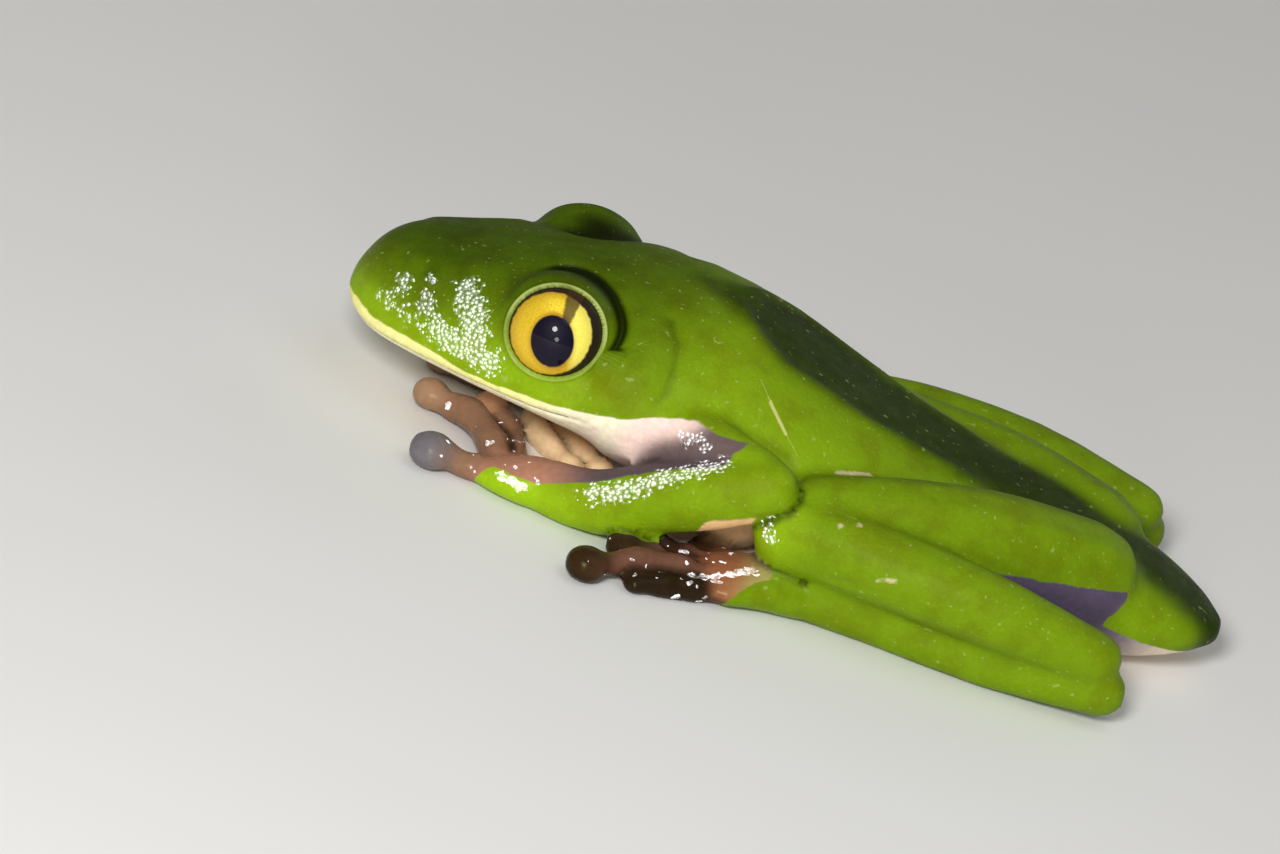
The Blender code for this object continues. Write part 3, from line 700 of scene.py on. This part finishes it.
# the discs at the tips have colours of their own
discColours = {"finger_4": "discGrey", "finger_2": "innerPad", "finger_3": "discTan"}
for name in fleshNames:
    here = labels == name
    if kindOf(name) not in ("finger", "toe") or name in orangeDigits:
        continue
    tip = nodePoints[name][np.argmin(nodePoints[name][:, 0])]
    discShare = fade(awayFrom(points[here], tip), 4.2, 2.2)
    tint[here] = blend(tint[here], pale[discColours.get(name[:8], "toeDisc")], discShare)
    # the lowest toe is painted all over in the shade colour
    if name.startswith("toe_5"):
        tint[here] = pale["shadeUnderFoot"]
# painted shade: the foot and toes darken towards the floor
under = np.isin(kinds, ("foot", "toe")) * fade(up, 1.3, 0.7)
tint = blend(tint, pale["shadeUnderFoot"], 0.8 * under)
tint = blend(tint, pale["orange"], underArm * fade(normals[:, 2], -0.1, -0.4))
tint = soften(tint, mean, 5)

# how light the green is, 0 dark to 1 light: partly the frog's own tones, partly painted shade that
# darkens the green higher up on the head and neck
toneAndShadeAt = {
    "head": ((7.0, 0.82), (9.3, 0.72), (11.6, 0.33), (13.2, 0.18), (16.0, 0.12)),  # by height
    "neck": ((8.0, 0.64), (12.0, 0.41), (14.0, 0.31), (15.5, 0.24), (17.0, 0.18)),
}
# how far out the darker band down the back reaches, at each distance back: painted shade, partly also a
# darker green of the back's own
paintedShadeBand = ((19.0, -1.5), (26.0, 1.4), (29.5, 3.4), (32.2, 4.9), (36.5, 4.5), (42.4, 3.9), (69.0, 2.6))
headToneAndShade = curveThrough(toneAndShadeAt["head"], up) * (1 - 0.5 * fade(back, 11.0, 6.0) * fade(up, 7.6, 9.4))
neckToneAndShade = curveThrough(toneAndShadeAt["neck"], up)
pastBand = out - curveThrough(paintedShadeBand, back)
backToneAndShade = 0.55 * fade(pastBand, -0.7, 1.5) + 0.1 * fade(pastBand, 2.0, 6.0)
light = headToneAndShade + (neckToneAndShade - headToneAndShade) * fade(back, 17.0, 21.0)
light = light + (backToneAndShade - light) * fade(back, 21.0, 30.5)
limbLight = {"forearm": 0.6, "hand": 1.0, "thigh": 0.48, "shank": 0.5, "tarsus": 0.5, "foot": 0.5,
             "upper_arm": 0.6}
for kind, level in limbLight.items():
    light[kinds == kind] = level
light = light + 0.3 * (kinds == "shank") * fade(back, 39.0, 35.5)
light = light + 0.3 * np.isin(kinds, ("forearm", "hand")) * fade(up, 5.0, 1.5)
light = soften(light, mean, 12)
# wet places, as half width and path; they are smaller on the right
lessOnRight = 0.5
wetPlaces = (
    (0.45, ((2.8, 4.7, 8.3), (5.6, 6.8, 8.1), (8.2, 8.1, 8.3))),  # snout, above the lip
    (1.05, ((7.4, 7.6, 8.5), (9.8, 8.8, 8.4), (12.1, 9.7, 8.4))),
    (1.2, ((8.7, 6.4, 11.5), (9.8, 7.8, 10.5), (10.4, 8.7, 9.4))),  # before the eye
    (0.7, ((4.0, 5.0, 10.1), (4.1, 5.2, 9.6))),
    (0.75, ((6.0, 6.4, 9.8), (6.3, 6.7, 9.3))),
    (0.35, ((5.8, 5.6, 11.2), (5.9, 5.7, 11.1))),
    (0.8, ((22.0, 15.1, 3.7), (25.3, 15.3, 5.7), (27.6, 15.1, 7.6), (30.2, 14.8, 9.2))),  # forearm
    (0.5, ((15.4, 13.5, 2.0), (17.4, 14.1, 1.9))),
    (0.5, ((27.0, 12.4, 9.3), (28.6, 13.0, 9.6))),
    (0.5, ((35.0, 15.9, 6.8), (35.5, 16.1, 6.0))),  # knee
    (0.5, ((31.0, 17.9, 1.8), (33.5, 16.9, 2.1), (35.2, 16.0, 3.1))),  # foot
)
# pale marks: a cream patch at the groin, two small spots on the thigh that are painted highlights, and a
# thin pale line on the shank
paleMarksAndHighlights = (
    (0.3, ((38.6, 9.9, 9.8), (39.6, 9.3, 9.9), (40.8, 8.8, 10.0))),
    (0.18, ((39.9, 16.1, 8.6), (40.1, 16.0, 8.7))),
    (0.18, ((41.0, 15.6, 9.0), (41.3, 15.5, 9.0))),
    (0.12, ((43.6, 17.9, 6.4), (45.2, 17.8, 6.9))),
)


def insideStrokes(strokes):
    # how far inside the nearest stroke each point lies
    inside = np.full(len(points), -farAway)
    for width, path in strokes:
        inside = np.maximum(inside, width - strokeDistance(bothSides, path)[0])
    return inside


wet = insideStrokes(wetPlaces) - lessOnRight * (points[:, 1] > 0)
digitShare = soften(np.isin(kinds, ("finger", "toe", "hand", "foot")).astype(float), mean, 8)
lidEdge = np.full(len(points), farAway)
for side in eyeCentres:
    distance, angle = aroundEye(points, side)
    local = (distance < 5.6) & (points[:, 1] * side > 0)
    pastEdge = (angle - openingAngle) * math.radians(1) * lids["edgeRadius"]
    lidEdge = np.where(local, pastEdge, lidEdge)
# painted shade in grooves, holes and folds, as width and share
shadedHole, shadedMouth = 0.2, (0.14, 0.7)
shadedFolds = {"elbowCrease": (0.3, 1.0), "foldBehindEye": (0.5, 0.4)}
crease = np.maximum(crease, grooves ** 1.3)
crease = np.maximum(crease, bellAt(awayFrom(bothSides, nostril["hole"]), shadedHole))
width, share = shadedMouth
crease = np.maximum(crease, share * bellAt(jawSeam(points), width) * fade(back, *mouth["endsAt"]))
for name, (width, share) in shadedFolds.items():
    distance, along = strokeDistance(bothSides, folds[name]["path"])
    crease = np.maximum(crease, share * tapered(along, 0.2) * bellAt(distance, width))

# the scratch, on the left alone, is measured straight across and narrows to nothing at its ends
scratchPath = [(x, -y, z) for x, y, z in folds["scratch"]["path"]]
startBack, _, startUp = scratchPath[0]
scratchReach, scratchAcross = 1.5, (0.61, 0.79)  # mm; straight across it, back and up
distance, along = strokeDistance(points, scratchPath)
acrossScratch = (back - startBack) * scratchAcross[0] + (up - startUp) * scratchAcross[1]
narrowed = acrossScratch * (1 + 9 * (fade(along, 0.15, 0.0) + fade(along, 0.85, 1.0)))
cheekPatch = {"place": (20.3, 10.4, 10.4), "size": 1.3}

attributes = {
    "greenEdge": green, "leafLight": light, "wetPlace": wet, "digitShare": digitShare,
    "lidEdge": lidEdge, "crease": crease, "paleMark": insideStrokes(paleMarksAndHighlights),
    "scratch": np.where(distance < scratchReach, narrowed, farAway),
    "cheekPatch": bellAt(awayFrom(bothSides, cheekPatch["place"]), cheekPatch["size"]),
}
for name, values in attributes.items():
    attribute = skin.data.attributes.new(name, "FLOAT", "POINT")
    attribute.data.foreach_set("value", values.astype(np.float32))
colours = np.concatenate((tint, np.ones((len(points), 1))), axis=1).astype(np.float32)
paleSkin = skin.data.color_attributes.new("paleSkin", "FLOAT_COLOR", "POINT")
paleSkin.data.foreach_set("color", colours.ravel())
print("frog: markings measured")


class Wire:
    # an output socket; arithmetic on it adds Math nodes
    def __init__(self, graph, socket):
        self.graph, self.socket = graph, socket

    def maths(self, operation, *others, flip=False):
        values = [self, *others]
        if flip:
            values.reverse()
        return self.graph.add("ShaderNodeMath", {"operation": operation}, dict(enumerate(values)))

    def __add__(self, other):
        return self.maths("ADD", other)

    def __sub__(self, other):
        return self.maths("SUBTRACT", other)

    def __mul__(self, other):
        return self.maths("MULTIPLY", other)

    def __rsub__(self, other):
        return self.maths("SUBTRACT", other, flip=True)

    def __abs__(self):
        return self.maths("ABSOLUTE")


class Graph:
    # the node tree of one material
    def __init__(self, name):
        self.material = bpy.data.materials.new(name)
        self.material.use_nodes = True
        tree = self.material.node_tree
        self.nodes, self.links = tree.nodes, tree.links
        self.shader = self.nodes["Principled BSDF"]
        place = self.add("ShaderNodeTexCoord", {}, {}, "Object")
        self.place = self.vector("SCALE", place, scale=1000.0)  # millimetres

    def add(self, kind, settings, sockets, output=0):
        node = self.nodes.new(kind)
        for name, value in settings.items():
            setattr(node, name, value)
        self.fill(node, sockets)
        return Wire(self, node.outputs[output])

    def fill(self, node, sockets):
        for name, value in sockets.items():
            if isinstance(value, Wire):
                self.links.new(value.socket, node.inputs[name])
            else:
                socket = node.inputs[name]
                if socket.type == "RGBA" and len(value) == 3:
                    value = (*value, 1)
                socket.default_value = value

    def vector(self, operation, *vectors, scale=None, output=0):
        sockets = dict(enumerate(vectors))
        if scale is not None:
            sockets["Scale"] = scale
        return self.add("ShaderNodeVectorMath", {"operation": operation}, sockets, output)

    def mix(self, share, first, second, way="MIX"):
        return self.add("ShaderNodeMix", {"data_type": "RGBA", "blend_type": way, "clamp_factor": True},
                        {0: share, 6: first, 7: second}, 2)

    def filtered(self, share, colour, by):
        # the colour as seen through another, as far as share
        return self.mix(share, colour, self.mix(1.0, colour, by, "MULTIPLY"))

    def rise(self, value, low, high, least=0.0, most=1.0):
        # least below low, most above high, smooth between them
        sockets = {"Value": value, "From Min": low, "From Max": high, "To Min": least, "To Max": most}
        return self.add("ShaderNodeMapRange", {"interpolation_type": "SMOOTHSTEP"}, sockets)

    def noise(self, size, detail):
        sockets = {"Vector": self.place, "Scale": 1 / size, "Detail": detail}
        return self.add("ShaderNodeTexNoise", {}, sockets)

    def pattern(self, size, detail, low, high, least=0.0, most=1.0):
        # noise that is least below low and most above high
        return self.rise(self.noise(size, detail), low, high, least, most)

    def waver(self, size, detail, amount):
        # noise about zero
        return (self.noise(size, detail) - 0.5) * amount

    def dot(self, first, second):
        return self.vector("DOT_PRODUCT", first, second, output="Value")

    def attribute(self, name, output="Fac"):
        return self.add("ShaderNodeAttribute", {"attribute_name": name}, {}, output)

    def shade(self, **sockets):
        self.fill(self.shader, {name.replace("_", " "): value for name, value in sockets.items()})


# Skin: leaf green above, pale or dark below, fine round grains, wet where beads of water lie.
skinLook = {
    "light": (0.305, 0.50, 0.007), "dark": (0.019, 0.038, 0.0005),
    "olive": (0.88, 0.76, 0.7), "fleck": (1.22, 1.18, 1.6), "cheek": (0.95, 0.62, 0.45),  # filters
    "mark": (0.72, 0.56, 0.36), "speck": (0.42, 0.50, 0.16), "scratch": (0.62, 0.60, 0.22),
    "mottle": ((0.93, 0.91, 0.91), (1.06, 1.06, 1.06)),
    "lidRim": (0.40, 0.46, 0.13), "shadeInsideLid": (0.012, 0.010, 0.006),
    "shade": (0.07, 0.07, 0.05),
}
# size in mm, detail, low and high in the noise, and what they become
patterns = {
    "olive": (2.6, 4.0, 0.42, 0.66, 0.0, 0.75), "fleck": (0.28, 2.0, 0.45, 0.8, 0.0, 0.6),
    "mottle": (0.5, 4.0, 0.3, 0.75), "speck": (0.4, 0.0, 0.76, 0.82, 0.0, 0.35),
    "rim": (3.0, 2.0, 0.35, 0.65, 0.35, 0.9), "bead": (0.8, 1.0, 0.66, 0.73),
    "rough": (1.1, 3.0, 0.3, 0.7, 0.42, 0.54),
}
# size in mm, detail and amount
wavers = {"greenEdge": (1.4, 4.0, 0.4), "light": (1.2, 3.0, 0.12), "mark": (0.5, 2.0, 0.5),
          "wetEdge": (0.6, 3.0, 0.9), "fold": (0.7, 3.0, 0.025)}
wetLook = {
    "grain": 0.30,  # mm across one grain
    "heights": (0.02, 0.036),  # mm, of dry and wet grains
    "tilt": 0.12,  # how far each wet grain leans its own way
    "lean": (-0.062, -0.871, 0.487),  # halfway between the camera's side and the key light's
    "leanShare": 0.9,
    "roughness": 0.3,
}
g = Graph("frog_skin")
greenEdge = g.attribute("greenEdge")
leafLight = g.attribute("leafLight")
wetPlace = g.attribute("wetPlace")
digit = g.attribute("digitShare")
lidAway = g.attribute("lidEdge")
creaseShade = g.attribute("crease")
greenMask = g.rise(greenEdge + g.waver(*wavers["greenEdge"]), -0.08, 0.1)
# painted shade: the green darkens towards the top of the head and along the back
leaf = g.mix(leafLight + g.waver(*wavers["light"]), skinLook["dark"], skinLook["light"])
leaf = g.filtered(g.pattern(*patterns["olive"]), leaf, skinLook["olive"])
leaf = g.filtered(g.pattern(*patterns["fleck"]), leaf, skinLook["fleck"])
bare = g.attribute("paleSkin", "Color")
mottle = g.mix(g.pattern(*patterns["mottle"]), *skinLook["mottle"])
bare = g.mix(1.0, bare, mottle, "MULTIPLY")
leaf = g.filtered(g.attribute("cheekPatch") * 0.8, leaf, skinLook["cheek"])
# pale marks, two of them painted highlights on the thigh
marks = g.rise(g.attribute("paleMark") + g.waver(*wavers["mark"]), -0.1, 0.1)
leaf = g.mix(marks * 0.7, leaf, skinLook["mark"])
leaf = g.mix(g.pattern(*patterns["speck"]), leaf, skinLook["speck"])
scratch = g.rise(abs(g.attribute("scratch")), 0.13, 0.05)
leaf = g.mix(scratch * 0.8, leaf, skinLook["scratch"])
colour = g.mix(greenMask, bare, leaf)
rim = g.rise(lidAway, -0.02, 0.03) * g.rise(lidAway, 0.14, 0.08)
colour = g.mix(rim * g.pattern(*patterns["rim"]), colour, skinLook["lidRim"])
# painted shade: the skin inside the lids' edge, down towards the eyeball, is almost black
colour = g.mix(g.rise(lidAway, 0.01, -0.05), colour, skinLook["shadeInsideLid"])
# painted shade darkens the creases, the grooves round the lids, the nostrils' holes and the mouth line
colour = g.filtered(g.rise(creaseShade, 0.1, 0.8) * 0.95, colour, skinLook["shade"])
beads = digit * g.rise(greenEdge, 0.2, -0.1) * g.pattern(*patterns["bead"])
cells = {"Vector": g.place, "Scale": 1 / wetLook["grain"], "Randomness": 1.0}
grains, cellColour, cellCentre = (g.add("ShaderNodeTexVoronoi", {"feature": "F1"}, cells, output)
                                  for output in ("Distance", "Color", "Position"))
byCell = g.dot(cellColour, (1.0, 0.0, 0.0)) - 0.5
ragged = g.waver(*wavers["wetEdge"]) + byCell * (1 - digit) * 0.9
wetMask = g.rise(wetPlace + ragged + beads * 9, 0.05, 0.18)
tilt = g.dot(g.vector("SUBTRACT", g.place, cellCentre),
             g.vector("SUBTRACT", cellColour, (0.5, 0.5, 0.5)))
grainHeight = g.rise(wetMask, 0.0, 1.0, *wetLook["heights"]) * (1 - digit * 0.8)
height = grains * grains * grainHeight * -1 + tilt * wetMask * wetLook["tilt"]
height = height + g.waver(*wavers["fold"])
# on the left the wet grains are shaded as if they all lay over up and outwards, so that the key
# light glints in them; that way is fixed on the frog
natural = g.add("ShaderNodeNewGeometry", {}, {}, "Normal")
acrossBody = g.dot(g.place, (0.0, 1.0, 0.0))
turned = g.vector("SCALE", g.vector("SUBTRACT", wetLook["lean"], natural),
                  scale=wetMask * g.rise(acrossBody, 1.0, -1.0, 0.0, wetLook["leanShare"]))
leaning = g.vector("NORMALIZE", g.vector("ADD", natural, turned))
bump = g.add("ShaderNodeBump", {},
             {"Strength": 1.0, "Distance": 0.001, "Height": height, "Normal": leaning})
rough = g.pattern(*patterns["rough"]) - digit * 0.2
g.shade(Base_Color=colour, Roughness=rough, Normal=bump, Subsurface_Weight=0.06, Subsurface_Scale=0.001,
        Subsurface_Radius=(0.9, 0.6, 0.3), Specular_IOR_Level=0.1, Specular_Tint=(0.9, 1.0, 0.5, 1.0))
wetSkin = g.add("ShaderNodeBsdfPrincipled", {}, {"Base Color": colour, "Normal": bump,
                                                 "Roughness": wetLook["roughness"],
                                                 "Specular IOR Level": 1.0})
bothSkins = g.add("ShaderNodeMixShader", {}, {0: wetMask, 1: Wire(g, g.shader.outputs[0]), 2: wetSkin})
g.fill(g.nodes["Material Output"], {"Surface": bothSkins})
skin.data.materials.clear()
skin.data.materials.append(g.material)
skin.data.transform(toFrame)
skin.data.shade_smooth()
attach(skin, "root")
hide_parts(*fleshNames)
print("frog: skin coloured")


# Eyes: a glossy globe with a low cornea, a gold iris and a drop-shaped pupil.
eyeLook = {
    "gold": ((0.86, 0.54, 0.018), (1.0, 0.82, 0.07)),
    "front": (0.62, 0.38, 0.015), "rear": (1.0, 0.95, 0.18),
    "vein": (0.45, 0.20, 0.01), "roundPupil": (0.34, 0.12, 0.01), "bar": (0.05, 0.018, 0.008),
    "pupil": (0.004, 0.002, 0.012), "margin": (0.02, 0.012, 0.008), "white": (0.3, 0.28, 0.2),
    "barWay": (0.30, 0.954), "barOff": 0.55,  # the bar's direction, rearwards and up, and its place
    "wobble": (0.45, 4.0, 0.22), "fibres": (0.16, 4.0),
}


def makeEye(side, label):
    look, rearward, upward = eyeAxes(side)
    turn = look.to_track_quat("Z", "Y")
    bpy.ops.mesh.primitive_uv_sphere_add(segments=96, ring_count=72, radius=eyeball["radius"],
                                         location=eyeCentres[side], rotation=turn.to_euler())
    globe = bpy.context.object
    globe.name = globe.data.name = f"eye_globe_{label}"
    bpy.ops.object.transform_apply(location=True, rotation=True, scale=True)
    points = pointsOf(globe.data)
    centre = np.array(eyeCentres[side])
    offset = points - centre
    angle = np.degrees(np.arccos(np.clip(offset @ np.array(look) / eyeball["radius"], -1, 1)))
    bulge = eyeball["cornea"] * fade(angle, eyeball["corneaAngle"], 0)
    setPoints(globe.data, points + offset / eyeball["radius"] * bulge[:, None])
    globe.data.transform(toFrame)
    globe.data.shade_smooth()
    g = Graph(f"golden_eye_{label}")
    middle = toFrame @ Vector(eyeCentres[side])
    local = g.vector("SUBTRACT", g.place, tuple(value * 1000 for value in middle))
    across, rise, front = (g.dot(local, tuple(axis)) for axis in (rearward, upward, look))

    def ringDistance(offset, stretch=(1.0, 1.0)):
        dx = (across - offset[0]) * (1 / stretch[0])
        dy = (rise - offset[1]) * (1 / stretch[1])
        return (dx * dx + dy * dy).maths("SQRT")

    wobble, fibres = g.waver(*eyeLook["wobble"]), g.noise(*eyeLook["fibres"])
    irisOut = ringDistance(eyeball["irisOffset"]) + wobble
    pupilOut = ringDistance(eyeball["pupilOffset"], eyeball["pupil"]) + wobble * 0.25
    # the pupil's upper rear corner runs out in a dark bar to the rim
    pastPupil, overPupil = across - eyeball["pupilOffset"][0], rise - eyeball["pupilOffset"][1]
    wayRear, wayUp = eyeLook["barWay"]
    alongBar = pastPupil * wayRear + overPupil * wayUp
    offBar = abs(pastPupil * wayUp - overPupil * wayRear - eyeLook["barOff"])
    bar = g.rise(offBar + wobble - alongBar * 0.12, 0.26, 0.04) * g.rise(alongBar, 0.6, 1.2)
    gold = g.mix(g.rise(fibres, 0.35, 0.7), *eyeLook["gold"])
    veins = g.rise(fibres, 0.62, 0.72) * g.rise(irisOut, 1.6, 2.8)
    gold = g.mix(g.rise(irisOut, 2.3, eyeball["irisRadius"]) * 0.6 + veins * 0.4, gold, eyeLook["vein"])
    gold = g.mix(g.rise(pupilOut, 1.22, 1.02) * 0.7, gold, eyeLook["roundPupil"])
    gold = g.mix(g.rise(across, 0.6, -1.6) * 0.6, gold, eyeLook["front"])
    gold = g.mix(g.rise(across, 0.6, 1.6) * 0.6, gold, eyeLook["rear"])
    colour = g.mix(g.rise(irisOut, 2.9, 3.06), gold, eyeLook["margin"])
    colour = g.mix(bar * 0.85, colour, eyeLook["bar"])
    colour = g.mix(g.rise(pupilOut, 1.03, 0.95), colour, eyeLook["pupil"])
    colour = g.mix(g.rise(front, 0.6, 0.0), colour, eyeLook["white"])
    bump = g.add("ShaderNodeBump", {}, {"Strength": 0.4, "Distance": 0.001, "Height": fibres * 0.04})
    g.shade(Base_Color=colour, Roughness=0.5, Normal=bump, Coat_Weight=1.0, Coat_Roughness=0.02,
            Coat_IOR=1.25, Specular_IOR_Level=0.1)
    globe.data.materials.clear()
    globe.data.materials.append(g.material)
    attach(globe, "root")
    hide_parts(f"eye_{label}")


for side, label in ((-1, "left"), (1, "right")):
    makeEye(side, label)
print("frog: eyes made")

# Floor, lights and camera.
studio = {
    "floorSize": 2.0,
    "lights": {  # direction from the frog, distance, size, power
        "key": ((-0.124, -0.827, 0.546), 0.45, 0.11, 1.5),
        "fill": ((0.3, -0.2, 0.93), 0.6, 0.5, 0.5),
        "back": ((0.5, 0.75, 0.45), 0.6, 0.4, 0.25),
        "low": ((0.12, -0.98, 0.15), 0.5, 0.1, 0.4),
    },
    "ambient": 0.16, "ambientColour": (1.0, 1.0, 0.97, 1),
    "floorTones": ((0.87, 0.86, 0.84), (0.89, 0.88, 0.86)), "floorNoise": (30.0, 3.0),
    "floorRoughness": 0.7,
}
view = {
    "aim": (-0.0107, -0.008, 0.00685),  # the middle of the picture, in metres
    "elevation": 25.0, "roll": 20.0,  # degrees
    "fieldWidth": 0.09344,  # metres across the picture at the aim
    "focal": 300.0, "sensor": 36.0, "clipStart": 0.01,
}
aim = Vector(view["aim"])
bpy.ops.mesh.primitive_plane_add(size=studio["floorSize"], location=(0, 0, 0))
floor = bpy.context.object
floor.name = "floor"
floorGraph = Graph("pale_floor")
floorTone = floorGraph.mix(floorGraph.noise(*studio["floorNoise"]), *studio["floorTones"])
floorGraph.shade(Base_Color=floorTone, Roughness=studio["floorRoughness"])
floor.data.materials.append(floorGraph.material)


def areaLight(name, direction, distance, size, power):
    direction = Vector(direction).normalized()
    bpy.ops.object.light_add(type="AREA", location=aim + direction * distance,
                             rotation=direction.to_track_quat("Z", "Y").to_euler())
    light = bpy.context.object
    light.name = name
    light.data.shape = "DISK"
    light.data.size = size
    light.data.energy = power


for part, settings in studio["lights"].items():
    areaLight(f"{part}_light", *settings)
world = bpy.data.worlds.new("studio")
bpy.context.scene.world = world
world.use_nodes = True
background = world.node_tree.nodes["Background"]
background.inputs["Color"].default_value = studio["ambientColour"]
background.inputs["Strength"].default_value = studio["ambient"]
bpy.context.scene.view_settings.view_transform = "Standard"

elevation, roll = math.radians(view["elevation"]), math.radians(view["roll"])
toCamera = Vector((0, -math.cos(elevation), math.sin(elevation)))
levelUp = Vector((0, math.sin(elevation), math.cos(elevation)))
levelRight = Vector((1, 0, 0))
cameraRight = levelRight * math.cos(roll) + levelUp * math.sin(roll)
cameraUp = levelUp * math.cos(roll) - levelRight * math.sin(roll)
distance = view["fieldWidth"] * view["focal"] / view["sensor"]
bpy.ops.object.camera_add(location=aim + toCamera * distance)
camera = bpy.context.object
turn = Matrix((cameraRight, cameraUp, toCamera)).transposed()
camera.rotation_euler = turn.to_euler()
camera.data.sensor_width = view["sensor"]
camera.data.lens = view["focal"]
camera.data.clip_start = view["clipStart"]
bpy.context.scene.camera = camera
print("frog: studio set")
